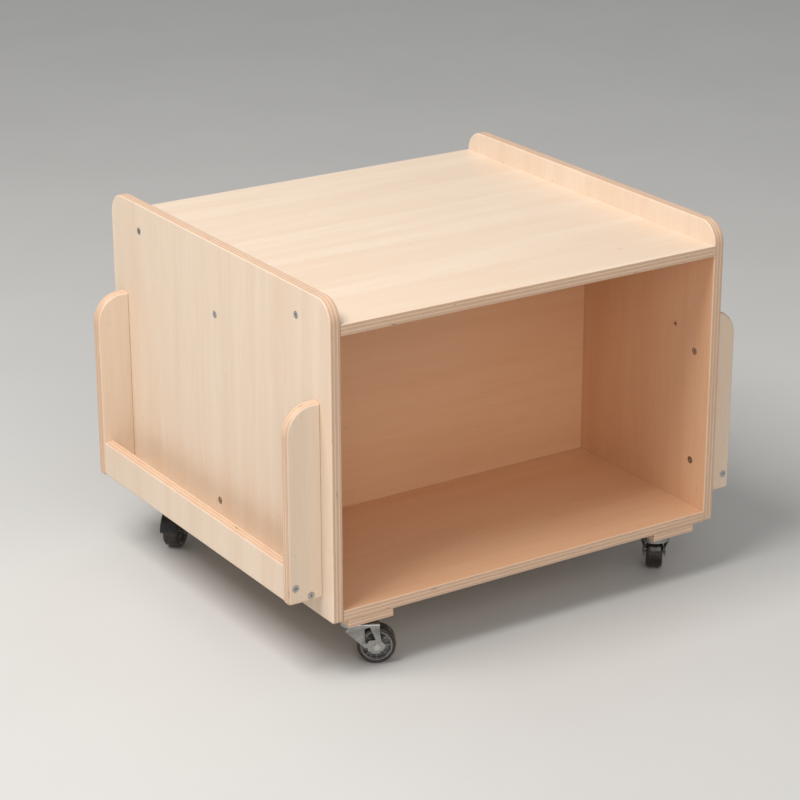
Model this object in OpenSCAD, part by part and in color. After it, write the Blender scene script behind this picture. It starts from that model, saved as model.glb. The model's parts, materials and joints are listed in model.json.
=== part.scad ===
// Low book cart on casters. Two shelf bays stand back to back between a pair of end panels, and
// each end panel carries an open book pocket on its outside.
// Millimetres. +X is the cart's right, +Y its back and +Z up. The origin is on the floor, under
// the middle of the cart.

/* [Carcass] */
// Width over the two end panels
cart_w = 600; // [500:10:760]
// Depth from the front edges to the back edges
cart_d = 570; // [480:10:720]
// Height of the end panels
panel_h = 420; // [340:10:540]
// How far the end panels stand above the table top
lip_h = 30; // [10:1:60]
// Thickness of the plywood
ply_t = 15; // [12:0.5:20]
// Radius of the end panels' top corners
top_corner_r = 30; // [8:1:50]
// Radius of the end panels' bottom corners
foot_corner_r = 4; // [1:0.5:10]

/* [Runners] */
// Width of the runner that the casters are screwed to
runner_w = 66; // [50:1:90]
// Thickness of the runner
runner_t = 10; // [8:0.5:16]
// Gap from the left end panel's inner face to its runner
runner_gap_left = 7; // [2:0.5:20]
// Gap from the right end panel's inner face to its runner
runner_gap_right = 17; // [2:0.5:20]

/* [Book pockets] */
// How far a pocket stands out from the end panel
pocket_depth = 48; // [42:1:70]
// Height of the pocket's side pieces
pocket_h = 260; // [180:5:290]
// Height of the pocket's bottom above the end panel's bottom
pocket_lift = 27; // [22:1:40]
// Distance from the end panel's edge to the pocket's side piece
pocket_setback = 26; // [15:1:50]
// Radius of the side pieces' outer top corner
pocket_corner_r = 38; // [10:1:40]
// Height of the lip that keeps the books in
pocket_lip_h = 50; // [35:1:90]
// How far the lip sits in from the side pieces' outer edge
pocket_lip_inset = 2.5; // [1:0.5:8]

/* [Screws] */
// Radius of a countersunk head
head_r = 5; // [4:0.1:6]
// Height of the countersunk cone
head_h = 3; // [2:0.1:4]
// Radius of a wood screw's shank
shank_r = 2; // [1.5:0.1:2.5]
// Length of a carcass screw
screw_len = 40; // [30:1:50]
// Length of a runner screw
runner_screw_len = 21; // [15:1:22]
// Length of a caster screw
caster_screw_len = 20; // [14:1:22]
// Radius of a caster screw's round head
pan_r = 3.9; // [3:0.1:4]
// Radial play around a shank
screw_play = 0.1; // [0.05:0.01:0.2]
// Distance from the front or back edge to the outer carcass screws
edge_screw_in = 80; // [60:5:110]
// Distance from the divider's top or bottom to its screws
divider_screw_in = 51; // [30:1:100]
// Distance from a pocket side piece's top or bottom to the screws that fix it
pocket_screw_in = 52; // [42:1:80]

/* [Casters] */
// Height from the top of a wheel to the top of the caster's plate
caster_rise = 20; // [20:1:34]
// Gap between a wheel and the crown of its fork
crown_gap = 8; // [8:0.5:9]
// Distance from the front casters' swivel axes to the cart's front
caster_in_front = 40; // [30:1:70]
// Distance from the back casters' swivel axes to the cart's back
caster_in_back = 70; // [42:1:80]
// Horizontal distance from the swivel axis to the axle
trail = 27; // [22:0.5:30]
// Side of the square top plate
plate_w = 42; // [42:1:52]
// Thickness of the top plate
plate_t = 2.5; // [2:0.1:3]
// Distance from the plate's edge to its screws
plate_hole_in = 5; // [4:0.1:5]
// Radius of the kingpin
kingpin_r = 4; // [3.5:0.1:4.5]
// Radius of a bearing ball
ball_r = 2.2; // [1.8:0.1:2.3]
// Thickness of the fork's sheet steel
fork_t = 2; // [1.5:0.1:2.5]
// Width over the fork's crown
crown_w = 39; // [38:0.5:42]
// Width over the fork's legs at the axle
leg_w = 30.5; // [30:0.5:34]
// Radial running clearance of the kingpin and of the axle
running_fit = 0.08; // [0.03:0.01:0.1]

/* [Wheels] */
// Diameter of a wheel
wheel_d = 50; // [41:1:62]
// Width of the tread
tread_w = 22; // [18:0.5:23]
// Thickness of the tread
tread_t = 4.5; // [3:0.1:6]
// Radius of the axle
axle_r = 3; // [2.5:0.1:3.5]
// Side clearance between the hub and a fork leg
hub_gap = 0.3; // [0.2:0.05:0.6]

/* [Brakes] */
// Angle that a brake pedal travels before it presses the wheel
brake_travel = 6; // [3:0.5:7]
// Gap that is left over the tread when the pedal is down
brake_gap = 0.5; // [0.3:0.1:1]
// Radius of the pin that the pedal turns on
brake_pin_r = 2; // [1.5:0.1:2.2]
// Width of the pedal at its top
pedal_w = 29; // [24:1:32]

/* [Hidden] */
$fn = 48;
slop = 1;

SIDES = [["left", -1], ["right", 1]];
ENDS = [["front", -1], ["back", 1]];

caster_h = wheel_d + caster_rise;
panel_z = caster_h + runner_t;
top_z = panel_z + panel_h - lip_h;
shelf_top_z = panel_z + ply_t;
inner_w = cart_w - 2 * ply_t;
half_w = cart_w / 2;
half_d = cart_d / 2;
divider_h = top_z - ply_t - shelf_top_z;

edge_screw_y = half_d - edge_screw_in;

side_y = half_d - pocket_setback;
side_mid_y = side_y - ply_t / 2;
pocket_z = panel_z + pocket_lift;
lip_len = 2 * (side_y - ply_t);
lip_out = pocket_depth - pocket_lip_inset;
lip_in = lip_out - ply_t;
lip_screw_x = half_w + lip_out - ply_t / 2;
lip_screw_z = pocket_z + pocket_lip_h / 2 - 3;
base_screw_x = half_w + lip_in / 2 + 1;
base_screw_z = pocket_z + ply_t / 2;

runner_screw_y = [-3, -1, 1, 3] * cart_d / 11.4;
plate_pitch = plate_w - 2 * plate_hole_in;
plate_hole_r = shank_r + 0.3;

// Name, swivel axis, the way its wheel trails, and whether it has a brake
CASTERS = [
    ["front_left", [runner_x(-1), caster_in_front - half_d], -30, false],
    ["front_right", [runner_x(1), caster_in_front - half_d], 52, false],
    ["back_left", [runner_x(-1), half_d - caster_in_back], -138, true],
    ["back_right", [runner_x(1), half_d - caster_in_back], -50, true],
];

// Middle of the left (-1) or the right (1) runner
function runner_x(s) =
    s * (half_w - ply_t - runner_w / 2 - (s < 0 ? runner_gap_left : runner_gap_right));

wheel_r = wheel_d / 2;
hub_r = wheel_r - tread_t;
crown_top = wheel_d + crown_gap + fork_t;
skirt_h = 7;
leg_step_h = 9;
leg_in = leg_w / 2 - fork_t;
crown_r = crown_w / 2;
crown_back = trail + 4;
leg_back = trail + 12;

race_gap = 0.3;
race_play = 0.1;
race_sheet = 3.2;
cup_skirt = 3.2;
race_z = (crown_top + caster_h - plate_t) / 2;
race_r = 12.5;
dome_r = 16.4;
cup_r = 18.2;
cup_wall = 1.2;
rivet_r = 6.5;
rivet_h = 2;
ball_count = 12;

axle_head_r = axle_r + 1.4;
axle_head_h = 1.2;

pin_x = trail - 2;
pin_z = wheel_d + crown_gap / 2 + 0.2;
lever_t = 1.5;
lever_w = 16;
lever_r = wheel_r + brake_gap;
knuckle_r = 3.4;
pedal_r = lever_r + lever_t;
pedal_t = 3;
rib_h = 0.9;

recess_r = 1.7;
recess_h = 1.8;
pan_h = 2.2;

wood = "burlywood";
bright_zinc = "silver";

// ---- outlines ----

function arc(centre, r, from, to, steps = 12) =
    [for (i = [0:steps]) let (a = from + (to - from) * i / steps) centre + r * [cos(a), sin(a)]];

// A board standing on its bottom edge, with its own radius at the top and the bottom corners
function board_outline(w, h, top_r, foot_r) = concat(
    arc([w / 2 - foot_r, foot_r], foot_r, -90, 0, 6),
    arc([w / 2 - top_r, h - top_r], top_r, 0, 90),
    arc([top_r - w / 2, h - top_r], top_r, 90, 180),
    arc([foot_r - w / 2, foot_r], foot_r, 180, 270, 6)
);

// ---- placing ----

// Draws a piece of the right end as it is, or turned round to the left end
module at_side(s) {
    if (s > 0) children();
    else mirror([1, 0, 0]) children();
}

// Draws a piece of the back as it is, or turned round to the front
module at_end(e) {
    if (e > 0) children();
    else mirror([0, 1, 0]) children();
}

// Draws a caster's turning piece, given with its swivel axis on Z and its wheel trailing to +X
module at_caster(c) {
    translate([c[1].x, c[1].y, 0]) rotate([0, 0, c[2]]) children();
}

// Extrudes an outline of X and Z to a width of w, centred on Y
module across(w) {
    translate([0, w / 2, 0]) rotate([90, 0, 0]) linear_extrude(w) children();
}

// Part of a round band that runs over the wheel, between two angles above the horizontal
module band(w, inner, outer, from, to) {
    reach = 2 * outer;
    translate([trail, 0, wheel_r]) rotate([90, 0, 0]) intersection() {
        difference() {
            cylinder(h = w, r = outer, center = true, $fn = 96);
            cylinder(h = w + slop, r = inner, center = true, $fn = 96);
        }
        translate([0, 0, -w]) linear_extrude(2 * w) polygon([
            [0, 0], reach * [cos(from), sin(from)],
            reach * [cos((from + to) / 2), sin((from + to) / 2)], reach * [cos(to), sin(to)]]);
    }
}

// Lifts a pressed-down pedal to where it rests
module released() {
    translate([pin_x, 0, pin_z]) rotate([0, -brake_travel, 0]) translate([-pin_x, 0, -pin_z])
        children();
}

// ---- screws: the head's face is at the origin and the shank points to -Z ----

module countersunk_profile(r, len) {
    rotate_extrude() polygon([[0, 0], [head_r, 0], [r, -head_h], [r, -len], [0, -len]]);
}

module wood_screw(len) {
    point_h = 2 * shank_r;
    difference() {
        union() {
            countersunk_profile(shank_r, len - point_h);
            translate([0, 0, -len]) cylinder(h = point_h, r1 = 0.3, r2 = shank_r);
        }
        translate([0, 0, -recess_h]) cylinder(h = recess_h + slop, r = recess_r, $fn = 6);
    }
}

module screw_hole(len) {
    countersunk_profile(shank_r + screw_play, len + 1);
}

module pan_screw() {
    difference() {
        union() {
            cylinder(h = pan_h, r = pan_r);
            translate([0, 0, -caster_screw_len]) cylinder(h = caster_screw_len, r = shank_r);
        }
        translate([0, 0, pan_h / 2]) cylinder(h = pan_h, r = recess_r, $fn = 6);
    }
}

// ---- where the screws go ----

module through_panel(s, y, z) {
    translate([s * half_w, y, z]) rotate([0, s * 90, 0]) children();
}

module at_table_screws() {
    for (s = [-1, 1], y = [-1, 1]) through_panel(s, y * edge_screw_y, top_z - ply_t / 2) children();
}

module at_shelf_screws() {
    for (s = [-1, 1], y = [-1, 0, 1])
        through_panel(s, y * edge_screw_y, panel_z + ply_t / 2) children();
}

module at_divider_screws() {
    for (s = [-1, 1], z = [shelf_top_z + divider_screw_in, top_z - ply_t - divider_screw_in])
        through_panel(s, 0, z) children();
}

// Driven outwards from inside a bay
module at_pocket_side_screws() {
    for (s = [-1, 1], y = [-1, 1], z = [pocket_screw_in, pocket_h - pocket_screw_in])
        translate([s * (half_w - ply_t), y * side_mid_y, pocket_z + z]) rotate([0, -s * 90, 0])
            children();
}

// Driven through a pocket's side piece into the ends of its lip and its base
module at_pocket_board_screws() {
    for (s = [-1, 1], e = [-1, 1], p = [[lip_screw_x, lip_screw_z], [base_screw_x, base_screw_z]])
        translate([s * p[0], e * side_y, p[1]]) rotate([-e * 90, 0, 0]) children();
}

module at_runner_screws() {
    for (s = [-1, 1], y = runner_screw_y)
        translate([runner_x(s), y, caster_h]) rotate([180, 0, 0]) children();
}

module at_caster_screws() {
    for (c = CASTERS, x = [-1, 1], y = [-1, 1])
        translate([c[1].x + x * plate_pitch / 2, c[1].y + y * plate_pitch / 2, caster_h - plate_t])
            rotate([180, 0, 0]) children();
}

// ---- boards ----

module end_panel(s) {
    color(wood) difference() {
        at_side(s) translate([half_w - ply_t, 0, panel_z]) rotate([90, 0, 90]) linear_extrude(ply_t)
            polygon(board_outline(cart_d, panel_h, top_corner_r, foot_corner_r));
        at_table_screws() screw_hole(screw_len);
        at_shelf_screws() screw_hole(screw_len);
        at_divider_screws() screw_hole(screw_len);
        at_pocket_side_screws() screw_hole(screw_len);
    }
}

module table_top() {
    color(wood) difference() {
        translate([-inner_w / 2, -half_d, top_z - ply_t]) cube([inner_w, cart_d, ply_t]);
        at_table_screws() screw_hole(screw_len);
    }
}

module bottom_shelf() {
    color(wood) difference() {
        translate([-inner_w / 2, -half_d, panel_z]) cube([inner_w, cart_d, ply_t]);
        at_shelf_screws() screw_hole(screw_len);
        at_runner_screws() screw_hole(runner_screw_len);
        at_caster_screws() caster_pilot();
    }
}

module centre_divider() {
    color(wood) difference() {
        translate([-inner_w / 2, -ply_t / 2, shelf_top_z]) cube([inner_w, ply_t, divider_h]);
        at_divider_screws() screw_hole(screw_len);
    }
}

module runner(s) {
    color(wood) difference() {
        translate([runner_x(s) - runner_w / 2, -half_d, caster_h])
            cube([runner_w, cart_d, runner_t]);
        at_runner_screws() screw_hole(runner_screw_len);
        at_caster_screws() caster_pilot();
    }
}

module caster_pilot() {
    translate([0, 0, -caster_screw_len - 1])
        cylinder(h = caster_screw_len + 1, r = shank_r + screw_play);
}

module pocket_side(s, e) {
    outline = concat(
        [[0, pocket_h], [0, 0]],
        arc([pocket_depth - foot_corner_r, foot_corner_r], foot_corner_r, -90, 0, 6),
        arc([pocket_depth - pocket_corner_r, pocket_h - pocket_corner_r], pocket_corner_r, 0, 90)
    );
    color(wood) difference() {
        at_side(s) at_end(e) translate([half_w, side_y, pocket_z]) rotate([90, 0, 0])
            linear_extrude(ply_t) polygon(outline);
        at_pocket_side_screws() screw_hole(screw_len);
        at_pocket_board_screws() screw_hole(screw_len);
    }
}

module pocket_lip(s) {
    color(wood) difference() {
        at_side(s) translate([half_w + lip_in, -lip_len / 2, pocket_z])
            cube([ply_t, lip_len, pocket_lip_h]);
        at_pocket_board_screws() screw_hole(screw_len);
    }
}

module pocket_base(s) {
    color(wood) difference() {
        at_side(s) translate([half_w, -lip_len / 2, pocket_z]) cube([lip_in, lip_len, ply_t]);
        at_pocket_board_screws() screw_hole(screw_len);
    }
}

// ---- casters ----

// A square plate pressed down in its middle to a cup that holds the upper half of the ball race
module caster_plate(c) {
    cup = [
        [kingpin_r, race_z + race_gap / 2], [cup_r - cup_wall, race_z + race_gap / 2],
        [cup_r - cup_wall, race_z - cup_skirt], [cup_r, race_z - cup_skirt], [cup_r, caster_h],
        [cup_r - 2, caster_h], [cup_r - 2, race_z + race_sheet], [kingpin_r, race_z + race_sheet],
    ];
    color(bright_zinc) translate([c[1].x, c[1].y, 0]) difference() {
        union() {
            difference() {
                translate([0, 0, caster_h - plate_t]) linear_extrude(plate_t)
                    translate([0, -plate_w / 2]) polygon(board_outline(plate_w, plate_w, 4, 4));
                translate([0, 0, caster_h - plate_t - slop])
                    cylinder(h = plate_t + 2 * slop, r = cup_r - 1);
            }
            rotate_extrude() polygon(cup);
        }
        ball_groove();
        for (x = [-1, 1], y = [-1, 1])
            translate([x * plate_pitch / 2, y * plate_pitch / 2, caster_h - plate_t - slop])
                cylinder(h = plate_t + 2 * slop, r = plate_hole_r);
    }
}

module ball_groove() {
    rotate_extrude() translate([race_r, race_z]) circle(r = ball_r + race_play);
}

module bearing_balls(c) {
    color("gray") at_caster(c) for (i = [1:ball_count])
        rotate([0, 0, i * 360 / ball_count]) translate([race_r, 0, race_z]) sphere(r = ball_r);
}

// A rivet whose heads lie inside the cup above and inside the fork's dome below
module kingpin(c) {
    dome_under = race_z - race_sheet - race_gap;
    cup_floor = race_z + race_sheet;
    color("gray") translate([c[1].x, c[1].y, 0]) {
        translate([0, 0, dome_under - rivet_h])
            cylinder(h = cup_floor + rivet_h - dome_under + rivet_h, r = kingpin_r);
        translate([0, 0, dome_under - rivet_h]) cylinder(h = rivet_h, r = rivet_r);
        translate([0, 0, cup_floor]) cylinder(h = rivet_h, r = rivet_r);
    }
}

// The fork as seen along its trail: a crown that bends down into two legs, which step in to the hub
module fork_front() {
    step_top = crown_top - skirt_h;
    step_foot = step_top - leg_step_h;
    bend = 3.5;
    outer = concat(
        [[leg_w / 2, 0], [leg_w / 2, step_foot], [crown_r, step_top]],
        arc([crown_r - bend, crown_top - bend], bend, 0, 90, 6)
    );
    inner = concat(
        [[leg_in, 0], [leg_in, step_foot], [crown_r - fork_t, step_top]],
        arc([crown_r - bend, crown_top - bend], bend - fork_t, 0, 90, 6)
    );
    polygon(concat(
        outer, [for (i = [len(outer) - 1:-1:0]) [-outer[i].x, outer[i].y]],
        [for (p = inner) [-p.x, p.y]], [for (i = [len(inner) - 1:-1:0]) inner[i]]
    ));
}

// The fork from the side: two arms that meet in a broad plate around the axle
module fork_side() {
    difference() {
        polygon([
            [-crown_r, crown_top], [-crown_r, crown_top - skirt_h], [-11, crown_top - 13.5],
            [trail - 15, wheel_r - 0.5], [trail - 11, wheel_r - 1], [trail - 11, wheel_r - 4.5],
            [trail - 5, wheel_r - 8.5], [trail + 3.5, wheel_r - 8.5], [trail + 10.5, wheel_r - 1],
            [trail + 11, wheel_r + 3.5], [trail + 6, wheel_r + 8.5],
            [crown_back, crown_top - 12], [crown_back, crown_top],
        ]);
        polygon([
            [trail - 15, crown_top - 7], [trail - 8.5, crown_top - 4.5],
            [trail - 1, wheel_r + 10], [trail - 9.5, wheel_r + 9.5], [trail - 12, wheel_r + 5],
            [trail - 15, wheel_r + 8],
        ]);
    }
}

// The crown from above: round at the swivel and straight over the wheel
function crown_plan(r) =
    concat([[leg_back, -r]], arc([0, 0], r, 270, 90, 16), [[leg_back, r]]);

module fork(c) {
    crown_under = crown_top - fork_t;
    dome_top = race_z - race_gap / 2;
    dome = [
        [kingpin_r + running_fit, race_z - race_sheet], [dome_r - 2, race_z - race_sheet],
        [dome_r - 2, crown_under], [dome_r, crown_under], [dome_r, dome_top],
        [kingpin_r + running_fit, dome_top],
    ];
    color(bright_zinc) at_caster(c) difference() {
        union() {
            difference() {
                intersection() {
                    translate([-crown_w, 0, 0]) rotate([90, 0, 90]) linear_extrude(3 * crown_w)
                        fork_front();
                    across(2 * crown_w) fork_side();
                    linear_extrude(crown_top + slop) polygon(crown_plan(crown_r));
                }
                translate([0, 0, crown_under - slop]) cylinder(h = fork_t + 2 * slop, r = dome_r - 1);
            }
            rotate_extrude() polygon(dome);
            front_skirt();
        }
        ball_groove();
        axle_bore(axle_r + screw_play);
        if (c[3]) translate([pin_x, crown_w, pin_z]) rotate([90, 0, 0])
            cylinder(h = 2 * crown_w, r = brake_pin_r + screw_play);
    }
}

// The rim that ties the two legs together around the front of the crown
module front_skirt() {
    translate([0, 0, crown_top - skirt_h]) linear_extrude(skirt_h - 1) intersection() {
        difference() {
            polygon(crown_plan(crown_r));
            polygon(crown_plan(crown_r - fork_t));
        }
        translate([-crown_w, -crown_w]) square([crown_w + 2, 2 * crown_w]);
    }
}

module axle_bore(r) {
    translate([trail, crown_w, wheel_r]) rotate([90, 0, 0]) cylinder(h = 2 * crown_w, r = r);
}

// The rivet that the wheel runs on, with a low head outside either leg
module axle_rivet(c) {
    color("gray") at_caster(c) translate([trail, 0, wheel_r]) rotate([90, 0, 0]) {
        cylinder(h = leg_w + axle_head_h, r = axle_r, center = true);
        for (s = [-1, 1]) translate([0, 0, s * (leg_w + axle_head_h) / 2])
            cylinder(h = axle_head_h, r = axle_head_r, center = true);
    }
}

// A spoked disc with a boss that runs on the axle
module wheel_hub(c) {
    boss_w = 2 * (leg_in - hub_gap);
    rim_w = tread_w - 2;
    web_w = 4;
    spokes = 8;
    color("lightgray") at_caster(c) difference() {
        translate([trail, 0, wheel_r]) rotate([90, 0, 0]) {
            cylinder(h = boss_w, r = 7, center = true);
            difference() {
                cylinder(h = rim_w, r = hub_r, center = true);
                cylinder(h = rim_w + slop, r = hub_r - 2, center = true);
            }
            cylinder(h = web_w, r = hub_r - 1, center = true);
            for (i = [1:spokes]) rotate([0, 0, i * 360 / spokes])
                translate([5, -0.8, 2 - rim_w / 2]) cube([hub_r - 6, 1.6, rim_w - 4]);
        }
        axle_bore(axle_r + running_fit);
    }
}

// A tyre with a slightly crowned tread and rounded shoulders
module wheel_tread(c) {
    shoulder = 2.2;
    crown_drop = 0.4;
    half = tread_w / 2;
    profile = concat(
        [[hub_r, -half], [wheel_r - crown_drop - shoulder, -half]],
        arc([wheel_r - crown_drop - shoulder, shoulder - half], shoulder, -90, -10, 5),
        [[wheel_r, -1.5], [wheel_r, 1.5]],
        arc([wheel_r - crown_drop - shoulder, half - shoulder], shoulder, 10, 90, 5),
        [[hub_r, half]]
    );
    color("dimgray") at_caster(c) translate([trail, 0, wheel_r]) rotate([90, 0, 0])
        rotate_extrude() polygon(profile);
}

// ---- brakes ----

module brake_pin(c) {
    color("gray") at_caster(c) translate([pin_x, 0, pin_z]) rotate([90, 0, 0]) {
        cylinder(h = crown_w, r = brake_pin_r, center = true);
        for (s = [-1, 1]) translate([0, 0, s * (crown_r + 0.6)])
            cylinder(h = 1.2, r = brake_pin_r + 1, center = true);
    }
}

// The steel strap under the pedal, with the knuckle that turns on the pin
module brake_lever(c) {
    color(bright_zinc) at_caster(c) released() difference() {
        union() {
            translate([pin_x, 0, pin_z]) rotate([90, 0, 0])
                cylinder(h = lever_w, r = knuckle_r, center = true);
            band(lever_w, lever_r, pedal_r, 15, 93);
        }
        translate([pin_x, 0, pin_z]) rotate([90, 0, 0])
            cylinder(h = lever_w + slop, r = brake_pin_r + running_fit, center = true);
        translate([trail, 0, wheel_r]) rotate([90, 0, 0])
            cylinder(h = lever_w + slop, r = lever_r, center = true);
    }
}

// The moulded cover that a foot presses, ribbed across and narrower at its tip
module brake_pedal(c) {
    tip = 4;
    root = 72;
    rib_step = 8;
    rib_in = 0.5;
    rib_root = 1;
    tip_w = pedal_w * 0.78;
    flat_r = pedal_r + pedal_t;
    color("dimgray") at_caster(c) released() difference() {
        union() {
            band(pedal_w, pedal_r, flat_r, tip, root);
            for (a = [tip + rib_in:rib_step:root - rib_step])
                band(pedal_w, pedal_r + rib_root, flat_r + rib_h, a, a + rib_step / 2);
        }
        for (s = [-1, 1]) rotate([90, 0, 90]) linear_extrude(4 * wheel_d) polygon([
            [s * tip_w / 2, wheel_r], [s * pedal_w / 2, 2 * wheel_d],
            [s * pedal_w, 2 * wheel_d], [s * pedal_w, 0], [s * tip_w / 2, 0]]);
    }
}

// ---- the pieces ----

for (s = SIDES) {
    end_panel(s[1]);
    runner(s[1]);
    pocket_lip(s[1]);
    pocket_base(s[1]);
    for (e = ENDS)
        pocket_side(s[1], e[1]);
}
table_top();
bottom_shelf();
centre_divider();

color(bright_zinc) at_table_screws() wood_screw(screw_len);  // table_screws
color(bright_zinc) at_shelf_screws() wood_screw(screw_len);  // shelf_screws
color(bright_zinc) at_divider_screws() wood_screw(screw_len);  // divider_screws
color(bright_zinc) at_pocket_side_screws() wood_screw(screw_len);  // pocket_side_screws
color(bright_zinc) at_pocket_board_screws() wood_screw(screw_len);  // pocket_board_screws
color(bright_zinc) at_runner_screws() wood_screw(runner_screw_len);  // runner_screws
color(bright_zinc) at_caster_screws() pan_screw();  // caster_screws

for (c = CASTERS) {
    caster_plate(c);
    bearing_balls(c);
    kingpin(c);
    fork(c);
    axle_rivet(c);
    wheel_hub(c);
    wheel_tread(c);
    if (c[3]) {
        brake_pin(c);
        brake_lever(c);
        brake_pedal(c);
    }
}
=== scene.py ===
"""The book cart as it is made: birch plywood boards with eased edges and countersunk screws, on
zinc plated swivel casters with smoked wheels. Metres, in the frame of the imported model."""

import json
import math

import bmesh
import bpy
import numpy as np
from mathutils import Matrix, Vector


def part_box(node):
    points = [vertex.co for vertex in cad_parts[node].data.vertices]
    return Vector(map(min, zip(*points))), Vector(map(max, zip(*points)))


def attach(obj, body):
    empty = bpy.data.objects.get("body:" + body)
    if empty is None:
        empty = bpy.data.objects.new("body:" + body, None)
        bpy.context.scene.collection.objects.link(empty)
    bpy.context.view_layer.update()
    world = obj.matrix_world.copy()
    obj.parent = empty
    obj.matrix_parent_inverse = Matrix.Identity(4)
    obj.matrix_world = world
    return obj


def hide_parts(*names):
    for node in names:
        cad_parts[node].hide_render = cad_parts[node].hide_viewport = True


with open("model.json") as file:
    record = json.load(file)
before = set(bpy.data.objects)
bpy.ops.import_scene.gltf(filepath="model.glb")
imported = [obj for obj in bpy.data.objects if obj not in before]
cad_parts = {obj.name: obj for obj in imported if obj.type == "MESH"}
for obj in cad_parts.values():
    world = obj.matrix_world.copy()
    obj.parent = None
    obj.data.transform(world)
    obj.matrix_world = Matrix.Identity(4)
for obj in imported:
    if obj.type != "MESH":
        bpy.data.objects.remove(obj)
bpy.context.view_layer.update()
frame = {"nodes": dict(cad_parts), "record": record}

MM = 0.001
SIDES = ("left", "right")
ENDS = ("front", "back")
AXES = {"x": 0, "y": 1, "z": 2}

BOARD = 15 * MM
PLY = 2.5 * MM  # one inner veneer
FACE_VENEER = 1.25 * MM
SAWN = (0.4 * MM, 0.8 * MM)  # the depth over which a face's tone gives way to the edge's
LINE = 0.3 * MM  # the width over which the painted bay shade fades in at the rim of a bay
ARRIS_R = 2.2 * MM  # the carcass boards' eased edges
POCKET_ARRIS_R = 4 * MM
BUTT_SHARE = 0.3  # how far an edge that meets another board is eased, beside the others
TOP_CORNER_R = 30 * MM
FOOT_CORNER_R = 4 * MM
POCKET_CORNER_R = 38 * MM
HOLE_PLAY = 0.15 * MM
SHANK_R = 2 * MM
CONE_H = 3 * MM
ABOVE_HEAD = 1 * MM  # how far a cutter starts above the face and ends past the point
SMOOTH_ANGLE = math.radians(35)

# The room inside the bays, just past its faces, within which shade is painted on the plywood: half
# its width, its top and its foot
BAY_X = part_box("table_top")[1].x + 0.2 * MM
BAY_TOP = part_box("table_top")[0].z + 0.2 * MM
BAY_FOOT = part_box("bottom_shelf")[1].z - 0.2 * MM


# ---- materials ----


class Socket:
    """A node's output that takes part in sums: each operator adds the Math node for it."""

    def __init__(self, finish, output):
        self.finish = finish
        self.output = output

    def maths(self, operation, *values):
        settings = {"operation": operation}
        return self.finish.node("ShaderNodeMath", settings, dict(enumerate(values)))

    def __add__(self, other):
        return self.maths("ADD", self, other)

    def __radd__(self, other):
        return self.maths("ADD", other, self)

    def __sub__(self, other):
        return self.maths("SUBTRACT", self, other)

    def __rsub__(self, other):
        return self.maths("SUBTRACT", other, self)

    def __mul__(self, other):
        return self.maths("MULTIPLY", self, other)

    def __rmul__(self, other):
        return self.maths("MULTIPLY", other, self)

    def __truediv__(self, other):
        return self.maths("DIVIDE", self, other)

    def __mod__(self, other):
        return self.maths("FLOORED_MODULO", self, other)

    def floor(self):
        return self.maths("FLOOR", self)

    def __abs__(self):
        return self.maths("ABSOLUTE", self)

    def above(self, low, high):
        """0 below low and 1 above high, with a smooth step between them."""
        settings = {"interpolation_type": "SMOOTHSTEP"}
        return self.finish.node("ShaderNodeMapRange", settings, {0: self, 1: low, 2: high})


class Finish:
    """A material while its nodes are added."""

    def __init__(self, name):
        self.material = bpy.data.materials.new(name)
        self.material.use_nodes = True
        self.tree = self.material.node_tree
        self.tree.nodes.clear()

    def node(self, kind, settings=None, inputs=None, output=0):
        """Adds a node: first its settings, then its sockets' values and links."""
        made = self.tree.nodes.new(kind)
        for key, value in (settings or {}).items():
            if key == "stops":
                self.set_stops(made.color_ramp, value)
            else:
                setattr(made, key, value)
        for key, value in (inputs or {}).items():
            if isinstance(value, Socket):
                self.tree.links.new(value.output, made.inputs[key])
            else:
                made.inputs[key].default_value = value
        return Socket(self, made.outputs[output])

    def set_stops(self, ramp, stops):
        while len(ramp.elements) < len(stops):
            ramp.elements.new(1)
        for element, (place, colour) in zip(ramp.elements, stops):
            element.position = place
            element.color = (*colour, 1)

    def place(self):
        return self.node("ShaderNodeTexCoord", output="Object")

    def parts(self, vector):
        """The X, Y and Z of a vector."""
        split = self.node("ShaderNodeSeparateXYZ", None, {0: vector}).output.node
        return [Socket(self, output) for output in split.outputs]

    def scaled(self, vector, scale):
        settings = {"operation": "MULTIPLY"}
        return self.node("ShaderNodeVectorMath", settings, {0: vector, 1: scale})

    def distance(self, vector, point):
        settings = {"operation": "DISTANCE"}
        return self.node("ShaderNodeVectorMath", settings, {0: vector, 1: point}, "Value")

    def noise(self, vector, scale=1.0, detail=2.0, roughness=0.5, distortion=0.0):
        values = {
            "Vector": vector,
            "Scale": scale,
            "Detail": detail,
            "Roughness": roughness,
            "Distortion": distortion,
        }
        return self.node("ShaderNodeTexNoise", None, values)

    def mix(self, share, first, second, blend="MIX"):
        """Colours mixed by share; 6 and 7 are the Mix node's colour sockets."""
        settings = {"data_type": "RGBA", "blend_type": blend}
        colours = [c if isinstance(c, Socket) else (*c, 1) for c in (first, second)]
        inputs = {0: share, 6: colours[0], 7: colours[1]}
        return self.node("ShaderNodeMix", settings, inputs, 2)

    def bump(self, height, distance, strength=1.0):
        values = {"Height": height, "Distance": distance, "Strength": strength}
        return self.node("ShaderNodeBump", None, values)

    def surface(self, **values):
        """The shader that everything ends in; Base_Color stands for its Base Color socket."""
        inputs = {key.replace("_", " "): value for key, value in values.items()}
        shader = self.node("ShaderNodeBsdfPrincipled", None, inputs)
        end = self.tree.nodes.new("ShaderNodeOutputMaterial")
        self.tree.links.new(shader.output, end.inputs["Surface"])
        return self.material


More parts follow.
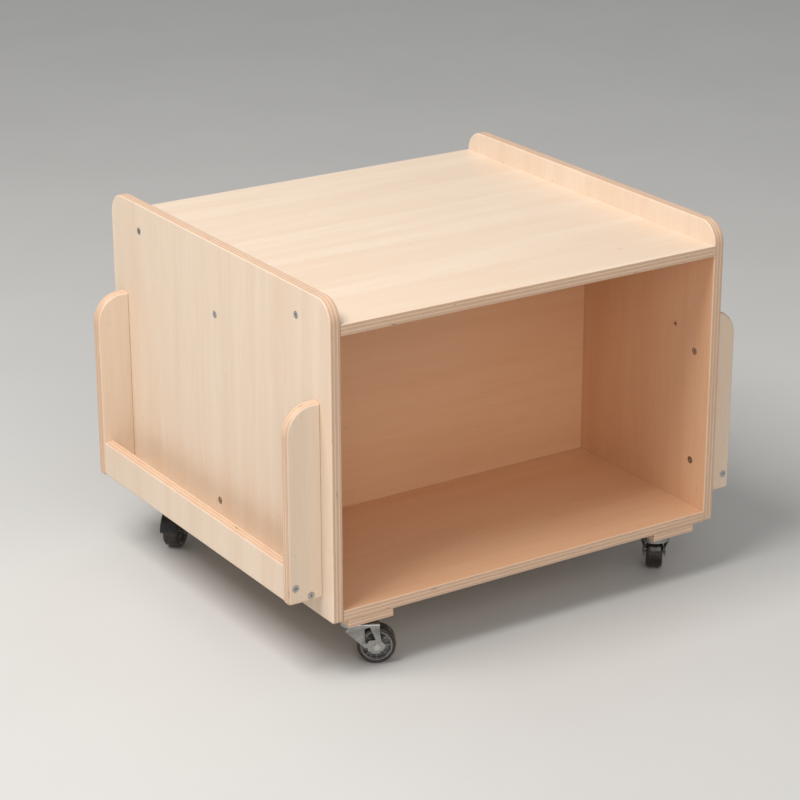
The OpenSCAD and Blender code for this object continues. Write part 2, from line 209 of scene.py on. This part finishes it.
def birch_plywood(knot):
    """Pale rotary-cut birch under satin lacquer. It reads the attribute that lay_up() writes:
    the distance along the face grain, the distance across it and the depth below one face."""
    f = Finish("birch_plywood")
    lay = f.node("ShaderNodeAttribute", {"attribute_name": "lay"}, output="Vector")
    _, _, depth = f.parts(lay)
    layer = (depth + FACE_VENEER) / PLY
    crossed = (layer.floor() % 2).above(0.4, 0.6)
    in_layer = layer % 1.0

    # streaks and bands that run with the face grain
    fine = f.noise(f.scaled(lay, (14, 420, 420)), detail=4, roughness=0.62)
    band = f.noise(f.scaled(lay, (1.6, 26, 26)), detail=3, distortion=0.6)
    flame = f.noise(f.scaled(lay, (5, 60, 60)), detail=3, roughness=0.6, distortion=1.2)
    colour = f.mix(band.above(0.3, 0.72), (0.735, 0.60, 0.47), (0.70, 0.545, 0.41))
    colour = f.mix(fine.above(0.35, 0.75) * 0.3, colour, (0.66, 0.45, 0.30))
    colour = f.mix(flame.above(0.56, 0.74) * 0.2, colour, (0.68, 0.44, 0.31))

    # the sawn edges are pinker than the faces
    sawn = depth.above(*SAWN) * (1 - depth.above(BOARD - SAWN[1], BOARD - SAWN[0]))
    colour = f.mix(sawn, colour, f.mix(1.0, colour, (0.96, 0.85, 0.76), "MULTIPLY"))

    # the faces inside the bays are painted with shade and warm bounce light: darker and warmer,
    # and more so towards the divider
    across, into, up = f.parts(f.place())
    inside = 1 - abs(across).above(BAY_X, BAY_X + LINE)
    inside = inside * (1 - up.above(BAY_TOP, BAY_TOP + LINE)) * up.above(BAY_FOOT - LINE, BAY_FOOT)
    bay_shade_tint = f.mix(abs(into).above(0.02, 0.26), (0.97, 0.70, 0.51), (1.06, 0.83, 0.66))
    colour = f.mix(inside, colour, f.mix(1.0, colour, bay_shade_tint, "MULTIPLY"))

    # the odd pin fleck
    fleck = f.noise(f.scaled(lay, (60, 330, 330)), detail=1).above(0.76, 0.8)
    colour = f.mix(fleck * 0.5, colour, (0.34, 0.2, 0.11))

    # crossed layers show their end grain, which is darker and full of pores
    pores = f.noise(f.scaled(lay, (420, 420, 1100)), detail=3, roughness=0.7)
    end_grain = f.mix(pores.above(0.3, 0.75), (0.46, 0.28, 0.19), (0.56, 0.36, 0.25))
    colour = f.mix(crossed * 0.62, colour, end_grain)

    # glue lines, and small voids in the crossed layers, pressed in by the bump, with painted shade
    # inside them
    edge = abs(in_layer - 0.5)
    patchy = f.noise(f.scaled(lay, (45, 45, 420)), detail=3, roughness=0.6)
    glue = edge.above(0.42, 0.48) * patchy.above(0.3, 0.62)
    colour = f.mix(glue * 0.62, colour, (0.20, 0.105, 0.055))
    shaded_void = f.noise(f.scaled(lay, (36, 36, 500)), detail=1).above(0.74, 0.765) * crossed
    colour = f.mix(shaded_void, colour, (0.045, 0.022, 0.012))

    # one pin knot
    to_knot = f.distance(f.place(), knot) / MM
    ring = (1 - to_knot.above(2.4, 6)) * 0.5
    colour = f.mix(ring, colour, (0.42, 0.22, 0.11))
    colour = f.mix(1 - to_knot.above(1.5, 2.3), colour, (0.07, 0.03, 0.015))

    sheen = f.noise(f.scaled(lay, (9, 40, 40)), detail=3)
    height = fine * 0.6 + pores * crossed * 0.8 - glue * 1.2 - shaded_void * 6
    return f.surface(
        Base_Color=colour,
        Roughness=0.4 + sheen * 0.16 + crossed * 0.14,
        Normal=f.bump(height, 0.00012, 0.5),
        Coat_Weight=0.22 + sheen * 0.1,
        Coat_Roughness=0.24,
        Specular_IOR_Level=0.42,
    )


def zinc(name, colour, roughness, streak):
    """Zinc plate: a slightly cloudy metal with fine drawing marks."""
    f = Finish(name)
    place = f.place()
    cloud = f.noise(place, 55, detail=4, roughness=0.6)
    marks = f.noise(f.scaled(place, streak), detail=3, roughness=0.7)
    pits = f.noise(place, 900, detail=2)
    dull = tuple(0.72 * c for c in colour)
    shade = f.mix(cloud.above(0.36, 0.68), colour, dull)
    shade = f.mix(marks.above(0.5, 0.8) * 0.3, shade, (0.86, 0.86, 0.84))
    stain = f.noise(place, 140, detail=3, roughness=0.7).above(0.64, 0.74)
    shade = f.mix(stain * 0.35, shade, (0.26, 0.23, 0.2))
    return f.surface(
        Base_Color=shade,
        Metallic=1.0,
        Roughness=roughness + cloud * 0.16 + stain * 0.14,
        Normal=f.bump(marks * 0.5 + pits * 0.5, 0.00006, 0.45),
    )


def bearing_steel():
    f = Finish("bearing_steel")
    place = f.place()
    grease = f.noise(place, 500, detail=2).above(0.55, 0.7)
    return f.surface(
        Base_Color=f.mix(grease * 0.6, (0.72, 0.72, 0.72), (0.3, 0.24, 0.16)),
        Metallic=1.0,
        Roughness=0.12 + grease * 0.25,
    )


def clear_plastic():
    """The hub: clear plastic with a grey tint, and the faint swirl that moulding leaves."""
    f = Finish("clear_hub")
    place = f.place()
    swirl = f.noise(place, 160, detail=3, distortion=1.5)
    dust = f.noise(place, 700, detail=2).above(0.6, 0.75)
    return f.surface(
        Base_Color=f.mix(swirl.above(0.35, 0.7), (0.56, 0.54, 0.52), (0.42, 0.395, 0.38)),
        Roughness=0.06 + dust * 0.2,
        Normal=f.bump(swirl, 0.0001, 0.4),
        Transmission_Weight=0.72,
        IOR=1.49,
    )


def smoked_tread():
    """The tyre: see-through smoke brown, scuffed where it rolls."""
    f = Finish("smoke_tread")
    place = f.place()
    scuff = f.noise(place, 240, detail=4, roughness=0.7)
    cloud = f.noise(place, 40, detail=2)
    return f.surface(
        Base_Color=f.mix(cloud.above(0.3, 0.7), (0.075, 0.05, 0.042), (0.04, 0.026, 0.022)),
        Roughness=0.14 + scuff.above(0.45, 0.75) * 0.3,
        Normal=f.bump(scuff, 0.0001, 0.4),
        Transmission_Weight=0.5,
        IOR=1.5,
    )


def pedal_plastic():
    f = Finish("pedal_plastic")
    place = f.place()
    grain = f.noise(place, 1500, detail=2)
    scuff = f.noise(f.scaled(place, (260, 260, 90)), detail=4, roughness=0.7)
    worn = scuff.above(0.6, 0.78)
    return f.surface(
        Base_Color=f.mix(worn * 0.5, (0.018, 0.019, 0.02), (0.085, 0.083, 0.08)),
        Roughness=0.28 + grain * 0.12 + worn * 0.12,
        Normal=f.bump(grain, 0.00008, 0.6),
    )


# ---- shaping ----


def deselect():
    bpy.ops.object.select_all(action="DESELECT")


def only(piece):
    """Selects one piece and nothing else."""
    deselect()
    piece.select_set(True)
    bpy.context.view_layer.objects.active = piece


def modify(piece, kind, **settings):
    """Adds a modifier and applies it."""
    only(piece)
    made = piece.modifiers.new(kind, kind)
    for key, value in settings.items():
        setattr(made, key, value)
    bpy.ops.object.modifier_apply(modifier=made.name)


def dress(piece, body, finish, slot, *nodes):
    """Gives a finished piece its material, its body and the CAD nodes that it stands for."""
    piece.data.materials.clear()
    piece.data.materials.append(finish)
    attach(piece, body)
    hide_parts(*nodes)


def smooth(piece):
    """Smooth curves with flat faces kept flat."""
    only(piece)
    bpy.ops.object.shade_smooth_by_angle(angle=SMOOTH_ANGLE)
    modify(piece, "WEIGHTED_NORMAL", keep_sharp=True, weight=100)


def block(name, low, high):
    """A box between two corners, still selected."""
    deselect()
    bpy.ops.mesh.primitive_cube_add(size=1, location=(low + high) / 2)
    piece = bpy.context.object
    piece.name = piece.data.name = name
    piece.scale = high - low
    bpy.ops.object.transform_apply(location=True, rotation=True, scale=True)
    return piece


def pick_edges(piece, wanted):
    """In edit mode, selects the edges whose two ends pass wanted(first, second)."""
    bpy.ops.mesh.select_mode(type="EDGE")
    bpy.ops.mesh.select_all(action="DESELECT")
    mesh = bmesh.from_edit_mesh(piece.data)
    for edge in mesh.edges:
        edge.select = wanted(edge.verts[0].co, edge.verts[1].co)
    mesh.select_flush_mode()
    bmesh.update_edit_mesh(piece.data)


def round_corner(piece, corner, radius, segments):
    """Rounds the edge that runs through a board at one corner of its outline. The corner is
    given by the signs of its place beside the board's middle, such as {"y": 1, "z": -1}."""
    low, high = (Vector(c) for c in (piece.bound_box[0], piece.bound_box[6]))
    middle = (low + high) / 2

    def at_corner(point):
        return all(
            abs(point[AXES[a]] - (high if sign > 0 else low)[AXES[a]]) < 1e-6
            and (point[AXES[a]] - middle[AXES[a]]) * sign > 0
            for a, sign in corner.items()
        )

    only(piece)
    bpy.ops.object.mode_set(mode="EDIT")
    pick_edges(piece, lambda a, b: at_corner(a) and at_corner(b))
    bpy.ops.mesh.bevel(offset=radius, segments=segments, affect="EDGES")
    bpy.ops.object.mode_set(mode="OBJECT")


def ease_edges(piece, radius, butts):
    """Rounds all of a board's sharp edges over, but less where a face meets another board. A
    butt is an axis letter and the place of that face on it."""
    mesh = bmesh.new()
    mesh.from_mesh(piece.data)
    weight = mesh.edges.layers.float.new("bevel_weight_edge")
    for edge in mesh.edges:
        if edge.calc_face_angle(0) > math.radians(50):
            hidden = any(
                all(abs(v.co[AXES[axis]] - place) < 1e-5 for v in edge.verts)
                for axis, place in butts
            )
            edge[weight] = BUTT_SHARE if hidden else 1
    mesh.to_mesh(piece.data)
    mesh.free()
    modify(piece, "BEVEL", limit_method="WEIGHT", width=radius, segments=4)


def lay_up(piece, through, along, number):
    """Writes the attribute that the plywood reads, given the axis of a board's thickness and the
    axis of its face grain. Each board is cut from its own part of a sheet."""
    co = np.empty(len(piece.data.vertices) * 3, np.float32)
    piece.data.vertices.foreach_get("co", co)
    co = co.reshape(-1, 3)
    across = ({0, 1, 2} - {AXES[through], AXES[along]}).pop()
    depth = co[:, AXES[through]] - co[:, AXES[through]].min()
    sheet = np.stack([co[:, AXES[along]] + 3 * number, co[:, across] + 1.7 * number, depth], 1)
    lay = piece.data.attributes.new("lay", "FLOAT_VECTOR", "POINT")
    lay.data.foreach_set("vector", sheet.astype(np.float32).ravel())


# ---- screws ----


def islands(node):
    """The separate solids of a CAD node, each as an array of its points."""
    mesh = bmesh.new()
    mesh.from_mesh(frame["nodes"][node].data)
    bmesh.ops.remove_doubles(mesh, verts=mesh.verts, dist=1e-6)
    left = set(mesh.verts)
    found = []
    while left:
        todo = [left.pop()]
        group = []
        while todo:
            vert = todo.pop()
            group.append(tuple(vert.co))
            for edge in vert.link_edges:
                other = edge.other_vert(vert)
                if other in left:
                    left.remove(other)
                    todo.append(other)
        found.append(np.array(group))
    mesh.free()
    return found


def read_screw(points):
    """(middle of the head's face, direction of the point, head radius, length) of a screw."""
    low, high = points.min(0), points.max(0)
    axis = int(np.argmax(high - low))
    middle = (low + high) / 2
    ends = [points[np.abs(points[:, axis] - end[axis]) < 1e-5] for end in (low, high)]
    radii = [np.ptp(end, axis=0).max() / 2 for end in ends]
    head = int(radii[1] > radii[0])
    face = Vector(middle)
    face[axis] = (low, high)[head][axis]
    direction = Vector((0, 0, 0))
    direction[axis] = -1 if head else 1
    return face, direction, radii[head], high[axis] - low[axis]


def screw_cutter(face, direction, head_r, length):
    """The room that a countersunk screw takes: a cone under the head and a bore for its shank."""
    deselect()
    bpy.ops.mesh.primitive_circle_add(
        vertices=32, radius=head_r + HOLE_PLAY, fill_type="NGON", location=(0, 0, ABOVE_HEAD)
    )
    cutter = bpy.context.object
    bpy.ops.object.transform_apply(location=True, rotation=True, scale=True)
    bpy.ops.object.mode_set(mode="EDIT")
    narrowing = (SHANK_R + HOLE_PLAY) / (head_r + HOLE_PLAY)
    steps = [(ABOVE_HEAD, 1), (CONE_H, narrowing), (length - CONE_H + ABOVE_HEAD, 1)]
    for down, share in steps:
        bpy.ops.mesh.extrude_region_move(TRANSFORM_OT_translate={"value": (0, 0, -down)})
        bpy.ops.transform.resize(value=(share, share, share))
    bpy.ops.mesh.select_all(action="SELECT")
    bpy.ops.mesh.normals_make_consistent(inside=False)
    bpy.ops.object.mode_set(mode="OBJECT")
    turn = Vector((0, 0, -1)).rotation_difference(direction)
    cutter.data.transform(Matrix.Translation(face) @ turn.to_matrix().to_4x4())
    return cutter


def screw_cutters():
    """A cutter for each countersunk screw of the carcass and pockets."""
    found = []
    for node in ("table", "shelf", "divider", "pocket_side", "pocket_board", "runner"):
        for points in islands(node + "_screws"):
            found.append(screw_cutter(*read_screw(points)))
    return found


def meets(piece, other):
    """Whether two objects' boxes overlap."""
    low_a, high_a, low_b, high_b = (
        Vector(o.bound_box[corner]) for o in (piece, other) for corner in (0, 6)
    )
    return all(low_a[i] < high_b[i] and low_b[i] < high_a[i] for i in range(3))


def cut_holes(piece, cutters):
    bpy.context.view_layer.update()
    for cutter in cutters:
        if meets(piece, cutter):
            modify(piece, "BOOLEAN", operation="DIFFERENCE", object=cutter, solver="EXACT")


# ---- boards ----


def face_of(node, axis, sign):
    """A butt: the face of a CAD node towards +axis or -axis."""
    low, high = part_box(node)
    return axis, (high if sign > 0 else low)[AXES[axis]]


def boards():
    """(CAD node, thickness axis, grain axis, rounded corners, arris radius, butts) of each."""
    rows = []
    around = [face_of("centre_divider", axis, s) for axis in "xz" for s in (-1, 1)]
    ends = [face_of("table_top", "x", s) for s in (-1, 1)]
    for number, side in enumerate(SIDES):
        out = (-1, 1)[number]
        corners = [({"y": s, "z": 1}, TOP_CORNER_R, 12) for s in (-1, 1)]
        corners += [({"y": s, "z": -1}, FOOT_CORNER_R, 4) for s in (-1, 1)]
        rows.append((f"end_panel_{side}", "x", "z", corners, ARRIS_R, []))
        panel = face_of(f"end_panel_{side}", "x", out)
        for end, facing in zip(ENDS, (-1, 1)):
            corners = [({"x": out, "z": 1}, POCKET_CORNER_R, 12)]
            corners.append(({"x": out, "z": -1}, FOOT_CORNER_R, 4))
            node = f"pocket_{side}_{end}_side"
            rows.append((node, "y", "z", corners, POCKET_ARRIS_R, [panel]))
        lip, base = f"pocket_{side}_lip", f"pocket_{side}_base"
        lip_ends = [face_of(lip, "y", s) for s in (-1, 1)]
        base_butts = lip_ends + [panel, face_of(base, "x", out)]
        rows.append((lip, "x", "z", [], POCKET_ARRIS_R * 0.8, lip_ends))
        rows.append((base, "z", "y", [], ARRIS_R, base_butts))
        runner = f"runner_{side}"
        rows.append((runner, "z", "y", [], 1.2 * MM, [face_of(runner, "z", 1)]))
    rows.append(("table_top", "z", "x", [], 1.6 * MM, ends))
    rows.append(("bottom_shelf", "z", "x", [], 1.6 * MM, ends))
    rows.append(("centre_divider", "y", "x", [], 1.6 * MM, around))
    return rows


def make_boards(finish):
    cutters = screw_cutters()
    for number, (node, through, along, corners, radius, butts) in enumerate(boards()):
        piece = block(f"{node}_board", *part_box(node))
        for corner, corner_r, segments in corners:
            round_corner(piece, corner, corner_r, segments)
        ease_edges(piece, radius, butts)
        cut_holes(piece, cutters)
        smooth(piece)
        lay_up(piece, through, along, number)
        dress(piece, "cart", finish, "birch_plywood", node)
    for cutter in cutters:
        bpy.data.objects.remove(cutter)


# ---- screws and casters ----

BODY_OF = {
    node: body for body, nodes in frame["record"]["behaviour"]["bodies"].items() for node in nodes
}
JOINTS = {joint["name"]: joint for joint in frame["record"]["behaviour"]["joints"]}

# How far each kind of metal or plastic part's edges are rounded
EASE = {
    "zinc_fastener": 0.25 * MM,
    "zinc_sheet": 0.4 * MM,
    "clear_hub": 0.5 * MM,
    "pedal_plastic": 0.35 * MM,
}

# Half of the tyre's section, from the middle of the tread round its shoulder to the hub, as
# (radius, distance across) in millimetres
TYRE = [
    (25, 0), (25, 3.5), (24.93, 6.5), (24.75, 8.4), (24.3, 9.7), (23.6, 10.6), (22.7, 11),
    (21.8, 11), (21.3, 10.7), (20.9, 10.1), (20.55, 10), (20.5, 9),
]


def eased_copy(node, width):
    """A CAD node's shape with its points joined, its flat faces whole and its edges rounded."""
    piece = bpy.data.objects.new(f"{node}_eased", frame["nodes"][node].data.copy())
    piece.data.name = piece.name
    bpy.context.scene.collection.objects.link(piece)
    only(piece)
    bpy.ops.object.mode_set(mode="EDIT")
    bpy.ops.mesh.select_all(action="SELECT")
    bpy.ops.mesh.remove_doubles(threshold=1e-6)
    bpy.ops.mesh.dissolve_limited(angle_limit=math.radians(0.5))
    bpy.ops.mesh.normals_make_consistent(inside=False)
    bpy.ops.object.mode_set(mode="OBJECT")
    modify(
        piece,
        "BEVEL",
        limit_method="ANGLE",
        angle_limit=math.radians(40),
        width=width,
        segments=2,
        use_clamp_overlap=True,
    )
    smooth(piece)
    return piece


def tyre(caster):
    """Spins the tyre's section about the axle and puts it on its wheel."""
    section = TYRE + [(radius, -across) for radius, across in TYRE[:0:-1]]
    deselect()
    bpy.ops.mesh.primitive_circle_add(vertices=len(section), radius=1 * MM, fill_type="NOTHING")
    piece = bpy.context.object
    piece.name = piece.data.name = f"tyre_{caster}"
    for vert, (radius, across) in zip(piece.data.vertices, section):
        vert.co = (radius * MM, across * MM, 0)
    bpy.ops.object.mode_set(mode="EDIT")
    bpy.ops.mesh.select_all(action="SELECT")
    bpy.ops.mesh.spin(steps=96, angle=2 * math.pi, center=(0, 0, 0), axis=(0, 1, 0))
    bpy.ops.mesh.select_all(action="SELECT")
    bpy.ops.mesh.remove_doubles(threshold=1e-6)
    bpy.ops.mesh.normals_make_consistent(inside=False)
    bpy.ops.object.mode_set(mode="OBJECT")
    spin = JOINTS[f"wheel_spin_{caster}"]
    turn = Vector((0, 1, 0)).rotation_difference(Vector(spin["axis"])).to_matrix().to_4x4()
    piece.data.transform(Matrix.Translation(spin["pos_m"]) @ turn)
    smooth(piece)
    return piece


def make_fittings(finishes):
    for part in frame["record"]["subparts"]:
        node, slot = part["node"], part["material_slot"]
        if slot in EASE:
            dress(eased_copy(node, EASE[slot]), BODY_OF[node], finishes[slot], slot, node)
        elif slot == "smoke_tread":
            piece = tyre(node.removeprefix("wheel_tread_"))
            dress(piece, BODY_OF[node], finishes[slot], slot, node)


# ---- studio ----


def make_floor():
    deselect()
    bpy.ops.mesh.primitive_grid_add(x_subdivisions=8, y_subdivisions=8, size=14)
    floor = bpy.context.object
    floor.name = "floor"
    f = Finish("pale_floor")
    tone = f.noise(f.place(), 3, detail=3)
    floor.data.materials.append(
        f.surface(
            Base_Color=f.mix(tone, (0.53, 0.52, 0.50), (0.58, 0.57, 0.55)),
            Roughness=0.6,
        )
    )


def make_light(name, place, target, size, power, colour):
    data = bpy.data.lights.new(name, "AREA")
    data.shape = "SQUARE"
    data.size = size
    data.energy = power
    data.color = colour
    light = bpy.data.objects.new(name, data)
    bpy.context.scene.collection.objects.link(light)
    light.location = place
    light.rotation_euler = (Vector(target) - Vector(place)).to_track_quat("-Z", "Y").to_euler()


def make_studio():
    make_floor()
    middle = (0, 0, 0.3)
    make_light("key", (-1.8, -0.25, 3.2), middle, 1.8, 124, (1.0, 0.985, 0.965))
    make_light("fill", (-1.2, -3.4, 1.9), middle, 2.4, 42, (1.0, 0.99, 0.975))
    world = bpy.data.worlds.new("studio")
    world.use_nodes = True
    background = world.node_tree.nodes["Background"]
    background.inputs["Color"].default_value = (0.96, 0.98, 1.0, 1)
    background.inputs["Strength"].default_value = 0.42
    bpy.context.scene.world = world
    bpy.context.scene.view_settings.view_transform = "Standard"


def make_camera():
    """Stands in front of the cart's left end and looks down at it."""
    azimuth, down, roll = (math.radians(a) for a in (32.77, 20.86, -0.14))
    data = bpy.data.cameras.new("camera")
    data.sensor_width = 36
    data.lens = 114.93
    camera = bpy.data.objects.new("camera", data)
    bpy.context.scene.collection.objects.link(camera)
    camera.location = (-1.7734, -2.7264, 1.4640)
    flat = math.cos(down)
    ahead = Vector((math.sin(azimuth) * flat, math.cos(azimuth) * flat, -math.sin(down)))
    turn = ahead.to_track_quat("-Z", "Y").to_matrix() @ Matrix.Rotation(roll, 3, "Z")
    camera.rotation_euler = turn.to_euler()
    bpy.context.scene.camera = camera


# ---- the cart ----

make_camera()
make_studio()

panel_low, panel_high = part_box("end_panel_right")
pin_knot = (panel_low.x, panel_low.y + 75 * MM, panel_low.z + 262 * MM)
plywood = birch_plywood(pin_knot)
FINISHES = {
    "birch_plywood": plywood,
    "zinc_fastener": zinc("zinc_fastener", (0.5, 0.495, 0.485), 0.2, (700, 700, 700)),
    "zinc_sheet": zinc("zinc_sheet", (0.34, 0.335, 0.325), 0.2, (90, 90, 1400)),
    "bearing_steel": bearing_steel(),
    "clear_hub": clear_plastic(),
    "smoke_tread": smoked_tread(),
    "pedal_plastic": pedal_plastic(),
}
for part in frame["record"]["subparts"]:
    shown = frame["nodes"][part["node"]]
    shown.data.materials.clear()
    shown.data.materials.append(FINISHES[part["material_slot"]])

make_boards(plywood)
make_fittings(FINISHES)
